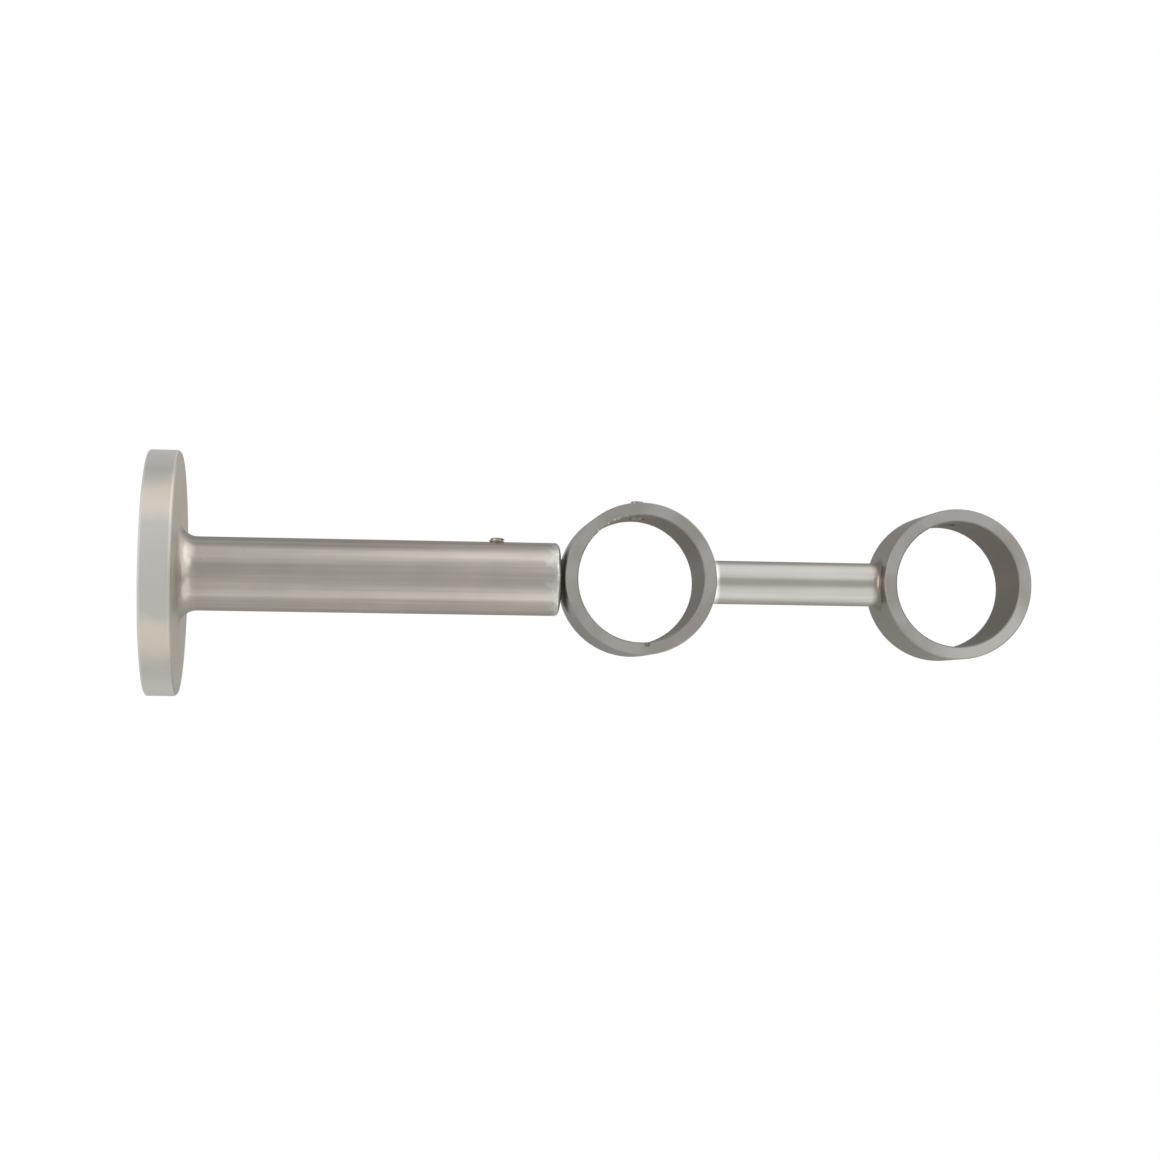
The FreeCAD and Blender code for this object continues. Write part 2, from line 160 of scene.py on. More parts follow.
def make_world():
    """The room. It is white where the camera sees it, and metal mirrors that white low behind the
    bracket. Around it metal mirrors a grey room with a pale wall past the front ring."""
    world = bpy.data.worlds.new("studio_room")
    bpy.context.scene.world = world
    world.use_nodes = True
    tree = world.node_tree
    direction = add_node(tree, "ShaderNodeTexCoord", output="Generated")
    toward = add_node(tree, VECTOR_MATH, {0: direction, 1: CAMERA_FORWARD}, "Value",
                      operation="DOT_PRODUCT")
    ahead = add_node(tree, RANGE, {"Value": toward, "From Min": -0.2, "From Max": 0.8},
                     interpolation_type="SMOOTHSTEP")
    along_stem = add_node(tree, "ShaderNodeSeparateXYZ", {0: direction}, "X")
    beside = add_node(tree, RANGE, {"Value": along_stem, "From Min": 0.35, "From Max": 0.80},
                      interpolation_type="SMOOTHSTEP")
    toward_white = add_node(tree, VECTOR_MATH, {0: direction, 1: WHITE_BACKDROP}, "Value",
                            operation="DOT_PRODUCT")
    behind = add_node(tree, RANGE, {"Value": toward_white, "From Min": BACKDROP_EDGE,
                                    "From Max": BACKDROP_FULL}, interpolation_type="SMOOTHSTEP")
    rays = add_node(tree, "ShaderNodeLightPath", output="Is Glossy Ray").node.outputs
    mirrored = add_node(tree, MATH, {0: rays["Is Glossy Ray"], 1: rays["Is Transmission Ray"]},
                        operation="MAXIMUM")
    room = add_node(tree, MIX, {SHARE: ahead, FIRST: ROOM_MIRRORED, SECOND: FAR_MIRRORED}, MIXED,
                    data_type="RGBA")
    room = add_node(tree, MIX, {SHARE: beside, FIRST: room, SECOND: SIDE_MIRRORED}, MIXED,
                    data_type="RGBA")
    room = add_node(tree, MIX, {SHARE: behind, FIRST: room, SECOND: WHITE}, MIXED, data_type="RGBA")
    shown = add_node(tree, MIX, {SHARE: mirrored, FIRST: ROOM_LIGHT, SECOND: room}, MIXED,
                     data_type="RGBA")
    shown = add_node(tree, MIX, {SHARE: rays["Is Camera Ray"], FIRST: shown, SECOND: WHITE}, MIXED,
                     data_type="RGBA")
    tree.links.new(shown, tree.nodes["Background"].inputs["Color"])


def make_floor():
    """A pale floor below the bracket, white far out, with the bracket's soft shadow near by. Metal
    mirrors it a little darker than the camera sees it."""
    mesh = bpy.data.meshes.new("floor")
    corners = [(x * FLOOR_HALF, y * FLOOR_HALF, FLOOR_Z) for x, y in ((-1, -1), (1, -1), (1, 1), (-1, 1))]
    mesh.from_pydata(corners, [], [(0, 1, 2, 3)])
    floor = bpy.data.objects.new("floor", mesh)
    bpy.context.scene.collection.objects.link(floor)
    material, tree, shader, place = new_material("floor_painted_white")
    shader.inputs["Roughness"].default_value = 0.8
    flat = add_node(tree, VECTOR_MATH, {0: place, 1: (1, 1, 0)}, operation="MULTIPLY")
    away = add_node(tree, VECTOR_MATH, {0: flat}, "Value", operation="LENGTH")
    far = add_node(tree, RANGE, {"Value": away, "From Min": SHADOW_END, "From Max": WHITE_START},
                   interpolation_type="SMOOTHSTEP")
    seen = add_node(tree, "ShaderNodeLightPath", output="Is Camera Ray")
    paint = add_node(tree, MIX, {SHARE: seen, FIRST: colour("#C3C3C1"), SECOND: colour("#F4F4F2")}, MIXED,
                     data_type="RGBA")
    tree.links.new(paint, shader.inputs["Base Color"])
    shown = add_node(tree, MATH, {0: far, 1: seen}, operation="MULTIPLY")
    white = add_node(tree, "ShaderNodeEmission", {"Color": WHITE, "Strength": 1.0})
    surface = add_node(tree, "ShaderNodeMixShader", {0: shown, 1: shader.outputs[0], 2: white})
    tree.links.new(surface, tree.nodes["Material Output"].inputs["Surface"])
    mesh.materials.append(material)


def make_lamp(name, centre, target, width, depth, power):
    """An oval soft lamp at centre that faces target."""
    data = bpy.data.lights.new(name, "AREA")
    data.shape = "ELLIPSE"
    data.size = width
    data.size_y = depth
    data.energy = power
    lamp = bpy.data.objects.new(name, data)
    bpy.context.scene.collection.objects.link(lamp)
    back = (Vector(centre) - Vector(target)).normalized()
    upward = back.cross(Vector((1, 0, 0))).normalized()
    side = upward.cross(back)
    turn = Matrix((side, upward, back)).transposed()
    lamp.matrix_world = Matrix.Translation(centre) @ turn.to_4x4()


# Satin nickel
def satin_nickel(name, light, dark):
    """Nickel plate, satin brushed on cast zinc. Gives soft long highlights, faint streaks along
    the bars and a slight clouding of tone."""
    material, tree, shader, place = new_material(name)
    shader.inputs["Metallic"].default_value = 1.0
    shader.inputs["Specular Tint"].default_value = colour("#DAD7D2")
    # Faint clouding some 9 mm across
    cloud_size = 9 * MM
    clouds = add_node(tree, NOISE, {"Vector": place, "Scale": 1 / cloud_size, "Detail": 3.0})
    clouds = add_node(tree, RANGE, {"Value": clouds, "To Min": 0.25, "To Max": 0.75})
    # Brushing streaks along x, 150 mm long. The coarsest are 1.6 mm apart, with finer ones among
    # them. The real ones are about 0.1 mm apart, so these are drawn coarser, so that they show
    streak_length = 150 * MM
    streak_spacing = 1.6 * MM
    stretch = (1 / streak_length, 1 / streak_spacing, 1 / streak_spacing)
    drawn_out = add_node(tree, VECTOR_MATH, {0: place, 1: stretch}, operation="MULTIPLY")
    streaks = add_node(tree, NOISE, {"Vector": drawn_out, "Scale": 1.0, "Detail": 3.0})
    # They are only on the two bars, and the rose and the rings are plain
    across = add_node(tree, VECTOR_MATH, {0: place, 1: (0, 1, 1)}, operation="MULTIPLY")
    radius = add_node(tree, VECTOR_MATH, {0: across}, "Value", operation="LENGTH")
    off_bar = add_node(tree, RANGE, {"Value": radius, "From Min": STEM_RADIUS + 0.2 * MM,
                                     "From Max": STEM_RADIUS + 0.8 * MM})
    streaks = add_node(tree, MIX, {0: off_bar, 2: streaks, 3: 0.5})
    both = add_node(tree, MATH, {0: streaks, 1: 2.0, 2: clouds}, operation="MULTIPLY_ADD")
    tone = add_node(tree, RANGE, {"Value": both, "From Min": 1.0, "From Max": 2.0})
    base = add_node(tree, MIX, {SHARE: tone, FIRST: colour(dark), SECOND: colour(light)}, MIXED,
                    data_type="RGBA")
    # Casting pits 0.25 mm across, in a tenth of the cells
    pit_spacing = 2.6 * MM
    cells = add_node(tree, "ShaderNodeTexVoronoi", {"Vector": place, "Scale": 1 / pit_spacing}, "Color")
    draw = add_node(tree, "ShaderNodeSeparateColor", {0: cells})
    few = add_node(tree, MATH, {0: draw, 1: 0.90}, operation="GREATER_THAN")
    near = add_node(tree, MATH, {0: cells.node.outputs["Distance"], 1: 0.05}, operation="LESS_THAN")
    pitted = add_node(tree, MATH, {0: few, 1: near}, operation="MULTIPLY")
    dirt = add_node(tree, MATH, {0: pitted, 1: 0.5}, operation="MULTIPLY")
    base = add_node(tree, MIX, {SHARE: dirt, FIRST: base, SECOND: colour("#5E5A54")}, MIXED,
                    data_type="RGBA")
    along = add_node(tree, "ShaderNodeSeparateXYZ", {0: place}, "X")
    return material, tree, shader, place, base, streaks, radius, along


def wall_rose_finish():
    """The rose and its stem, in satin nickel. The rim is blasted and the stem is brushed. Gives a
    pale, even rim beside a stem with long bright bands."""
    material, tree, shader, place, base, streaks, radius, along = satin_nickel(
        "nickel_plated_zinc_satin_brushed_body", "#DAD2C8", "#B6B1A9")
    # The rim is warmer in uneven patches above and below the middle
    rim = add_node(tree, RANGE, {"Value": radius, "From Min": ROSE_RADIUS - 0.45 * MM,
                                 "From Max": ROSE_RADIUS - 0.15 * MM})
    level = add_node(tree, MATH, {0: along.node.outputs["Z"]}, operation="ABSOLUTE")
    patch_size = 12 * MM
    uneven = add_node(tree, NOISE, {"Vector": place, "Scale": 1 / patch_size, "Detail": 2.0})
    shifted = add_node(tree, MATH, {0: uneven, 1: 10 * MM, 2: level}, operation="MULTIPLY_ADD")
    patch = add_node(tree, RANGE, {"Value": shifted, "From Min": 15.5 * MM, "From Max": 19.5 * MM},
                     interpolation_type="SMOOTHSTEP")
    passed = add_node(tree, RANGE, {"Value": shifted, "From Min": 28.5 * MM, "From Max": 24 * MM},
                      interpolation_type="SMOOTHSTEP")
    patch = add_node(tree, MATH, {0: patch, 1: passed}, operation="MULTIPLY")
    blasted = add_node(tree, MIX, {SHARE: patch, FIRST: colour("#D4D1CC"), SECOND: colour("#E8DFD3")}, MIXED,
                       data_type="RGBA")
    # The rim is painted palest where it turns over at the top and the foot, a painted highlight at its
    # glancing ends
    ends = add_node(tree, RANGE, {"Value": level, "From Min": 23 * MM, "From Max": 28.5 * MM})
    blasted = add_node(tree, MIX, {SHARE: ends, FIRST: blasted, SECOND: colour("#F3F0EC")}, MIXED,
                       data_type="RGBA")
    shade = add_node(tree, MIX, {SHARE: rim, FIRST: base, SECOND: blasted}, MIXED, data_type="RGBA")
    # The stem's end is painted brighter, a painted highlight, and the border of the painted part
    # wanders by some 4 mm. The noise lies about 0.5, so the border's middle is 5 mm nearer the wall
    # than these two limits say
    wander_size = 3 * MM
    wander = add_node(tree, NOISE, {"Vector": place, "Scale": 1 / wander_size, "Detail": 2.0})
    border = add_node(tree, MATH, {0: wander, 1: 10 * MM, 2: along}, operation="MULTIPLY_ADD")
    painted_sheen = add_node(tree, RANGE, {"Value": border, "From Min": STEM_END_X + 1.8 * MM,
                                    "From Max": STEM_END_X + 3.2 * MM}, interpolation_type="SMOOTHSTEP")
    # Painted glints, small bright flecks at the rounded edge of the stem's end
    glint_size = 0.9 * MM
    glint_noise = add_node(tree, NOISE, {"Vector": place, "Scale": 1 / glint_size, "Detail": 1.0})
    glint_spots = add_node(tree, RANGE, {"Value": glint_noise, "From Min": 0.58, "From Max": 0.64})
    at_end = add_node(tree, RANGE, {"Value": along, "From Min": STEM_END_X - 1.6 * MM,
                                    "From Max": STEM_END_X - 0.9 * MM})
    painted_glints = add_node(tree, MATH, {0: glint_spots, 1: at_end}, operation="MULTIPLY")
    # The back edge, where it meets the wall, is painted paler, a painted highlight
    back_edge = add_node(tree, RANGE, {"Value": along, "From Min": 0.6 * MM, "From Max": 0.3 * MM})
    for share, tint in ((painted_sheen, "#D9D6D0"), (painted_glints, "#F4F2EE"), (back_edge, "#F6F3EF")):
        shade = add_node(tree, MIX, {SHARE: share, FIRST: shade, SECOND: colour(tint)}, MIXED,
                         data_type="RGBA")
    tree.links.new(shade, shader.inputs["Base Color"])
    # The rounding at the stem's foot is glossier than the stem, and the rose's face is duller
    foot = add_node(tree, RANGE, {"Value": radius, "From Min": STEM_RADIUS + 0.2 * MM,
                                  "From Max": STEM_RADIUS + 1.2 * MM})
    face = add_node(tree, RANGE, {"Value": radius, "From Min": STEM_RADIUS + 1.2 * MM,
                                  "From Max": STEM_RADIUS + 3.2 * MM}, interpolation_type="SMOOTHSTEP")
    rough = 0.31
    for share, more in ((foot, -0.06), (face, 0.25)):
        rough = add_node(tree, MATH, {0: share, 1: more, 2: rough}, operation="MULTIPLY_ADD")
    spread = add_node(tree, MATH, {0: streaks, 1: 0.06, 2: -0.03}, operation="MULTIPLY_ADD")
    rough = add_node(tree, MATH, {0: rough, 1: spread}, operation="ADD")
    tree.links.new(rough, shader.inputs["Roughness"])
    bump = add_node(tree, "ShaderNodeBump", {"Strength": 0.15, "Distance": 0.01 * MM, "Height": streaks})
    tree.links.new(bump, shader.inputs["Normal"])
    return material


def ring_arm_finish():
    """The arm, in satin nickel. The bars are brushed, the rings' faces are tumbled and the bores
    are left dull and painted darker as shade. Gives flat, finely grained greys on the rings beside a
    bright link."""
    material, tree, shader, place, base, streaks, radius, along = satin_nickel(
        "nickel_plated_zinc_satin_brushed_arm", "#D0CEC7", "#C1BEB7")
    # How far a point is from the nearer pole's axis, and from the middle of the rings' width
    ways = []
    for ring_x in (REAR_RING_X, FRONT_RING_X):
        moved = add_node(tree, VECTOR_MATH, {0: place, 1: (ring_x, 0, 0)}, operation="SUBTRACT")
        level = add_node(tree, VECTOR_MATH, {0: moved, 1: (1, 0, 1)}, operation="MULTIPLY")
        ways.append(add_node(tree, VECTOR_MATH, {0: level}, "Value", operation="LENGTH"))
    from_axis = add_node(tree, MATH, {0: ways[0], 1: ways[1]}, operation="MINIMUM")
    sideways = add_node(tree, MATH, {0: along.node.outputs["Y"]}, operation="ABSOLUTE")
    # 1 between the faces, in the pole bores, on the rings' outer walls, and on the faces
    inside = add_node(tree, RANGE, {"Value": sideways, "From Min": RING_HALF_WIDTH - 0.05 * MM,
                                    "From Max": RING_HALF_WIDTH - 0.25 * MM})
    close = add_node(tree, RANGE, {"Value": from_axis, "From Min": BORE_RADIUS + 0.25 * MM,
                                   "From Max": BORE_RADIUS + 0.05 * MM})
    bore = add_node(tree, MATH, {0: close, 1: inside}, operation="MULTIPLY")
    outer = add_node(tree, RANGE, {"Value": from_axis, "From Min": RING_RADIUS - 0.4 * MM,
                                   "From Max": RING_RADIUS - 0.1 * MM})
    on_ring = add_node(tree, RANGE, {"Value": from_axis, "From Min": RING_RADIUS + 1.4 * MM,
                                     "From Max": RING_RADIUS + 0.2 * MM})
    wall = outer
    for limit in (on_ring, inside):
        wall = add_node(tree, MATH, {0: wall, 1: limit}, operation="MULTIPLY")
    face = add_node(tree, RANGE, {"Value": sideways, "From Min": RING_HALF_WIDTH - RING_EDGE_BREAK,
                                  "From Max": RING_HALF_WIDTH - 0.05 * MM})
    # The faces are handled, so they are warmer and darker in patches some 14 mm across
    patch_size = 14 * MM
    handled = add_node(tree, NOISE, {"Vector": place, "Scale": 1 / patch_size, "Detail": 2.0})
    handled = add_node(tree, RANGE, {"Value": handled, "From Min": 0.38, "From Max": 0.62},
                       interpolation_type="SMOOTHSTEP")
    face_shade = add_node(tree, MIX, {SHARE: handled, FIRST: colour("#C4C2BD"), SECOND: colour("#B6B0A8")},
                          MIXED, data_type="RGBA")
    shade = add_node(tree, MIX, {SHARE: face, FIRST: base, SECOND: face_shade}, MIXED, data_type="RGBA")
    # The front ring's face is painted paler at its foot, a painted highlight
    from_sheen = add_node(tree, VECTOR_MATH, {0: place, 1: FACE_SHEEN_SPOT}, "Value", operation="DISTANCE")
    painted_sheen = add_node(tree, RANGE, {"Value": from_sheen, "From Min": 17 * MM, "From Max": 7 * MM},
                      interpolation_type="SMOOTHSTEP")
    painted_sheen = add_node(tree, MATH, {0: painted_sheen, 1: face}, operation="MULTIPLY")
    # Painted shade at the spigot's foot and on the ring round it, where the stem's end comes close and
    # shades them.
    # It isn't metal, so it stays dark at a glancing angle too
    near_spigot = add_node(tree, RANGE, {"Value": radius, "From Min": SPIGOT_RADIUS + 4.6 * MM,
                                         "From Max": SPIGOT_RADIUS + 1.0 * MM},
                           interpolation_type="SMOOTHSTEP")
    beyond_bore = add_node(tree, RANGE, {"Value": from_axis, "From Min": BORE_RADIUS + 1.0 * MM,
                                         "From Max": BORE_RADIUS + 2.0 * MM})
    after_stem = add_node(tree, RANGE, {"Value": along, "From Min": STEM_END_X - 1.6 * MM,
                                        "From Max": STEM_END_X - 0.8 * MM})
    before_ring = add_node(tree, MATH, {0: along, 1: GAP_SHADE_END_X}, operation="LESS_THAN")
    painted_gap_shade = near_spigot
    for limit in (beyond_bore, after_stem, before_ring, inside):
        painted_gap_shade = add_node(tree, MATH, {0: painted_gap_shade, 1: limit}, operation="MULTIPLY")
    metallic_share = add_node(tree, MATH, {0: 1.0, 1: painted_gap_shade}, operation="SUBTRACT")
    tree.links.new(metallic_share, shader.inputs["Metallic"])
    # The link's root carries a painted highlight at the rear ring and painted brown shade at the front one
    at_link = add_node(tree, RANGE, {"Value": radius, "From Min": LINK_RADIUS + 1.8 * MM,
                                     "From Max": LINK_RADIUS + 0.6 * MM})
    # Painted highlight on the rounding at the rear ring's link root
    root = add_node(tree, RANGE, {"Value": along, "From Min": LINK_START_X + 1.8 * MM,
                                  "From Max": LINK_START_X + 0.9 * MM})
    past_rear = add_node(tree, MATH, {0: along, 1: LINK_START_X - 1.5 * MM}, operation="GREATER_THAN")
    for limit in (past_rear, at_link, inside):
        root = add_node(tree, MATH, {0: root, 1: limit}, operation="MULTIPLY")
    # Painted brown shade on the front ring's wall beside the link's root
    painted_root_shade = add_node(tree, RANGE, {"Value": along, "From Min": LINK_END_X - 1.9 * MM,
                                     "From Max": LINK_END_X - 0.5 * MM})
    before_front = add_node(tree, MATH, {0: along, 1: FRONT_RING_X}, operation="LESS_THAN")
    for limit in (beyond_bore, at_link, before_front, inside):
        painted_root_shade = add_node(tree, MATH, {0: painted_root_shade, 1: limit}, operation="MULTIPLY")
    # Painted shade in the nick at the foot of the rear ring's bore
    from_nick = add_node(tree, VECTOR_MATH, {0: place, 1: NICK}, "Value", operation="DISTANCE")
    in_nick = add_node(tree, RANGE, {"Value": from_nick, "From Min": 1.3 * MM, "From Max": 0.5 * MM})
    below_face = add_node(tree, RANGE, {"Value": sideways, "From Min": RING_HALF_WIDTH - 0.02 * MM,
                                        "From Max": RING_HALF_WIDTH - 0.15 * MM})
    painted_nick_shade = add_node(tree, MATH, {0: in_nick, 1: below_face}, operation="MULTIPLY")
    # The rings' broken edges are tumbled dull
    rising = add_node(tree, RANGE, {"Value": sideways, "From Min": RING_HALF_WIDTH - RING_EDGE_BREAK,
                                    "From Max": RING_HALF_WIDTH - 0.27 * MM})
    falling = add_node(tree, RANGE, {"Value": sideways, "From Min": RING_HALF_WIDTH - 0.005 * MM,
                                     "From Max": RING_HALF_WIDTH - 0.02 * MM})
    edge = add_node(tree, MATH, {0: rising, 1: falling}, operation="MULTIPLY")
    # Painted glints, small bright flecks at the rear ring's bore edge, where the pole goes in
    from_glint_edge = add_node(tree, VECTOR_MATH, {0: place, 1: GLINT_EDGE}, "Value", operation="DISTANCE")
    painted_glints = add_node(tree, RANGE, {"Value": from_glint_edge, "From Min": 8.0 * MM, "From Max": 4.0 * MM})
    at_bore = add_node(tree, RANGE, {"Value": from_axis, "From Min": BORE_RADIUS + 0.6 * MM,
                                     "From Max": BORE_RADIUS + 0.2 * MM})
    glint_size = 0.5 * MM
    glint_noise = add_node(tree, NOISE, {"Vector": place, "Scale": 1 / glint_size, "Detail": 1.0})
    glint_spots = add_node(tree, RANGE, {"Value": glint_noise, "From Min": 0.56, "From Max": 0.60})
    for limit in (at_bore, glint_spots):
        painted_glints = add_node(tree, MATH, {0: painted_glints, 1: limit}, operation="MULTIPLY")
    # Of these tints, the sheen, the root's near-white and the glints are painted highlights, and the bore's,
    # the gap's, the root's brown and the nick's are painted shade
    for share, tint in ((painted_sheen, "#DAD7D1"), (wall, "#AEABA6"), (bore, "#8F8880"), (painted_gap_shade, "#5C5147"),
                        (root, "#FAF8F4"), (painted_root_shade, "#9E9285"), (painted_nick_shade, "#9A948C"), (edge, "#A8A49E"),
                        (painted_glints, "#F4F2EE")):
        shade = add_node(tree, MIX, {SHARE: share, FIRST: shade, SECOND: colour(tint)}, MIXED,
                         data_type="RGBA")
    tree.links.new(shade, shader.inputs["Base Color"])
    rough = 0.32
    for share, more in ((face, 0.08), (painted_gap_shade, 0.40), (edge, 0.20), (bore, 0.10)):
        rough = add_node(tree, MATH, {0: share, 1: more, 2: rough}, operation="MULTIPLY_ADD")
    spread = add_node(tree, MATH, {0: streaks, 1: 0.05, 2: -0.025}, operation="MULTIPLY_ADD")
    rough = add_node(tree, MATH, {0: rough, 1: spread}, operation="ADD")
    tree.links.new(rough, shader.inputs["Roughness"])
    # The tumbled faces have a grain of about 0.25 mm
    grain_size = 0.25 * MM
    grain = add_node(tree, NOISE, {"Vector": place, "Scale": 1 / grain_size, "Detail": 2.0})
    height = add_node(tree, MATH, {0: grain, 1: face}, operation="MULTIPLY")
    height = add_node(tree, MATH, {0: streaks, 1: 0.8, 2: height}, operation="MULTIPLY_ADD")
    bump = add_node(tree, "ShaderNodeBump", {"Strength": 0.18, "Distance": 0.01 * MM, "Height": height})
    tree.links.new(bump, shader.inputs["Normal"])
    return material


def fixing_plate_finish():
    """Sheet steel, turned and zinc plated with a clear passivate. Gives a cool, slightly blotchy
    grey with fine rings round the middle."""
    material, tree, shader, place = new_material("zinc_plated_steel_turned")
    shader.inputs["Metallic"].default_value = 1.0
    # Blotches 4 mm across
    blotch_size = 4 * MM
    blotches = add_node(tree, NOISE, {"Vector": place, "Scale": 1 / blotch_size, "Detail": 4.0})
    tone = add_node(tree, RANGE, {"Value": blotches, "From Min": 0.35, "From Max": 0.65})
    shade = add_node(tree, MIX, {SHARE: tone, FIRST: colour("#B2B6B9"), SECOND: colour("#BFC4C7")}, MIXED,
                     data_type="RGBA")
    tree.links.new(shade, shader.inputs["Base Color"])
    # Turned rings 0.4 mm apart
    ring_spacing = 0.4 * MM
    across = add_node(tree, VECTOR_MATH, {0: place, 1: (0, 1, 1)}, operation="MULTIPLY")
    radius = add_node(tree, VECTOR_MATH, {0: across}, "Value", operation="LENGTH")
    rings = add_node(tree, NOISE, {"W": radius, "Scale": 1 / ring_spacing}, noise_dimensions="1D")
    rough = add_node(tree, MATH, {0: rings, 1: 0.14, 2: 0.30}, operation="MULTIPLY_ADD")
    tree.links.new(rough, shader.inputs["Roughness"])
    bump = add_node(tree, "ShaderNodeBump", {"Strength": 0.3, "Distance": 0.02 * MM, "Height": rings})
    tree.links.new(bump, shader.inputs["Normal"])
    return material


def screw_finish():
    """Hardened steel, nickel plated after the thread was rolled. Gives small bright crests over a
    darker, speckled ground."""
    material, tree, shader, place = new_material("nickel_plated_steel_rolled_thread")
    shader.inputs["Metallic"].default_value = 1.0
    # Speckles 0.4 mm across
    speck_size = 0.4 * MM
    specks = add_node(tree, NOISE, {"Vector": place, "Scale": 1 / speck_size, "Detail": 3.0})
    tone = add_node(tree, RANGE, {"Value": specks, "From Min": 0.35, "From Max": 0.65})
    shade = add_node(tree, MIX, {SHARE: tone, FIRST: colour("#ACA69D"), SECOND: colour("#C3BEB4")}, MIXED,
                     data_type="RGBA")
    tree.links.new(shade, shader.inputs["Base Color"])
    rough = add_node(tree, MATH, {0: specks, 1: 0.2, 2: 0.24}, operation="MULTIPLY_ADD")
    tree.links.new(rough, shader.inputs["Roughness"])
    bump = add_node(tree, "ShaderNodeBump", {"Strength": 0.2, "Distance": 0.01 * MM, "Height": specks})
    tree.links.new(bump, shader.inputs["Normal"])
    return material


# Threads
THREAD_STEPS = 36
RUN_OUT_TURNS = 0.4
THINNEST_SHARE = 0.02
SUNK_IN = 0.02 * MM

# The ridge is a trapezium. Its depth and the widths of its crest and root are shares of the pitch
THREAD_DEPTH_SHARE = 0.54
CREST_SHARE = 0.12
ROOT_SHARE = 0.86


def thread_tree():
    """A thread's ridge, swept along a helix about Z, from z = 0 upwards. It grows from nothing
    and dies away over the first and last part of a turn."""
    tree = bpy.data.node_groups.new("thread_ridge", "GeometryNodeTree")
    for name in ("Middle radius", "Pitch", "Turns", "Height", "Root width", "Crest width"):
        tree.interface.new_socket(name, in_out="INPUT", socket_type="NodeSocketFloat")
    tree.interface.new_socket("Finish", in_out="INPUT", socket_type="NodeSocketMaterial")
    tree.interface.new_socket("Geometry", in_out="OUTPUT", socket_type="NodeSocketGeometry")
    given = add_node(tree, "NodeGroupInput").node.outputs
    rise = add_node(tree, MATH, {0: given["Pitch"], 1: given["Turns"]}, operation="MULTIPLY")
    helix = add_node(tree, "GeometryNodeCurveSpiral", {
        "Resolution": THREAD_STEPS, "Rotations": given["Turns"], "Start Radius": given["Middle radius"],
        "End Radius": given["Middle radius"], "Height": rise})
    upright = add_node(tree, "GeometryNodeSetCurveNormal", {"Curve": helix}, mode="Z_UP")
    share = add_node(tree, "GeometryNodeSplineParameter", output="Factor")
    turned = add_node(tree, MATH, {0: share, 1: given["Turns"]}, operation="MULTIPLY")
    left = add_node(tree, MATH, {0: given["Turns"], 1: turned}, operation="SUBTRACT")
    nearest = add_node(tree, MATH, {0: turned, 1: left}, operation="MINIMUM")
    size = add_node(tree, MATH, {0: nearest, 1: RUN_OUT_TURNS}, operation="DIVIDE", use_clamp=True)
    size = add_node(tree, MATH, {0: size, 1: THINNEST_SHARE}, operation="MAXIMUM")
    tapered = add_node(tree, "GeometryNodeSetCurveRadius", {"Curve": upright, "Radius": size})
    section = add_node(tree, "GeometryNodeCurvePrimitiveQuadrilateral", {
        "Height": given["Height"], "Bottom Width": given["Root width"], "Top Width": given["Crest width"],
        "Offset": 0.0}, mode="TRAPEZOID")
    outward = add_node(tree, "GeometryNodeTransform", {"Geometry": section, "Rotation": (0, 0, math.pi / 2)})
    swept = add_node(tree, "GeometryNodeCurveToMesh", {
        "Curve": tapered, "Profile Curve": outward, "Scale": size, "Fill Caps": True})
    real = add_node(tree, "GeometryNodeRealizeInstances", {"Geometry": swept})
    dressed = add_node(tree, "GeometryNodeSetMaterial", {"Geometry": real, "Material": given["Finish"]})
    add_node(tree, "NodeGroupOutput", {"Geometry": dressed})
    return tree


def thread_mesh(tree, finish, values):
    """The tree's result for these sizes, as a plain mesh."""
    seed = bpy.data.objects.new("thread_seed", bpy.data.meshes.new("thread_seed"))
    bpy.context.scene.collection.objects.link(seed)
    modifier = seed.modifiers.new("thread", "NODES")
    modifier.node_group = tree
    for socket in tree.interface.items_tree:
        if socket.in_out == "INPUT" and socket.name in values:
            modifier[socket.identifier] = values[socket.name]
        if socket.name == "Finish":
            modifier[socket.identifier] = finish
    graph = bpy.context.evaluated_depsgraph_get()
    mesh = bpy.data.meshes.new_from_object(seed.evaluated_get(graph), depsgraph=graph)
    seed.modifiers.remove(modifier)
    bpy.data.objects.remove(seed)
    return mesh


# Edges where the faces turn by more than this stay sharp
FACE_ANGLE = math.radians(32)


def add_piece(name, mesh, finish):
    """A new piece at the origin, in one material, smooth but for its sharp edges."""
    mesh.materials.clear()
    mesh.materials.append(finish)
    mesh.shade_smooth()
    mesh.set_sharp_from_angle(angle=FACE_ANGLE)
    piece = bpy.data.objects.new(name, mesh)
    bpy.context.scene.collection.objects.link(piece)
    return piece


# Grub screws
ROUND_STEPS = 48
TOP_BEVEL = 0.25 * MM
MOUTH_BEVEL = 0.12 * MM
MOUTH_SHARE = 0.62
SOCKET_CONE = 0.3 * MM
CUP_RIM = 0.12 * MM
CUP_FLOOR_SHARE = 0.3
CUP_DEPTH_SHARE = 0.45
CONE_END_RADIUS = 0.22 * MM
THREAD_START_SHARE = 0.1

# M4 with a cup point, and M3 with a cone point. The socket is measured across its flats, the cup
# is a radius, and the point is the length without thread at the tip
M4_CUP = {"pitch": 0.7 * MM, "socket": 2.0 * MM, "socket_depth": 2.0 * MM, "cup": 0.9 * MM,
          "point": 0.35 * MM}
M3_CONE = {"pitch": 0.5 * MM, "socket": 1.5 * MM, "socket_depth": 1.2 * MM, "cup": 0.0,
           "point": 1.25 * MM}


def hexagon_radius(turn, across_flats):
    """How far the hexagon's side is from its middle, in this direction."""
    sixth = math.pi / 3
    return across_flats / 2 / math.cos((turn + sixth / 2) % sixth - sixth / 2)


